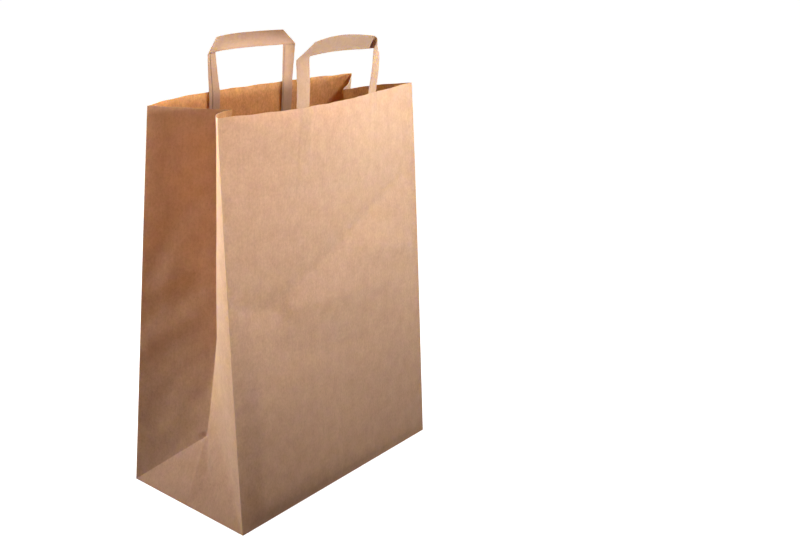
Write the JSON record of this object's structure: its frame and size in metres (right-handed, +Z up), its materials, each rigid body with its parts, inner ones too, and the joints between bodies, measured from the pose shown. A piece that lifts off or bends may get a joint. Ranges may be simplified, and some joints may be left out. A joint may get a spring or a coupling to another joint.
{
  "type": "paper carrier bag",
  "caption": "Block-bottomed kraft paper carrier bag standing open, with folded side gussets, a bowed rim and two flat paper strip handles glued inside the panels.",
  "frame": {"origin": "on the floor under the middle of the base", "axes": "+Z up through the mouth, +X along the width, -Y out of the front panel"},
  "size_m": [0.32, 0.1702, 0.4937],
  "materials": {
    "kraft_sheet": "uncoated brown kraft paper with fine ribs and fibres",
    "handle_strip": "folded flat strip of uncoated brown kraft paper",
    "patch_paper": "uncoated brown kraft paper, glued flat"
  },
  "bodies": {
    "root": {"bag_body": "kraft_sheet", "front_handle": "handle_strip", "rear_handle": "handle_strip", "front_patch": "patch_paper", "rear_patch": "patch_paper"}
  },
  "joints": []
}
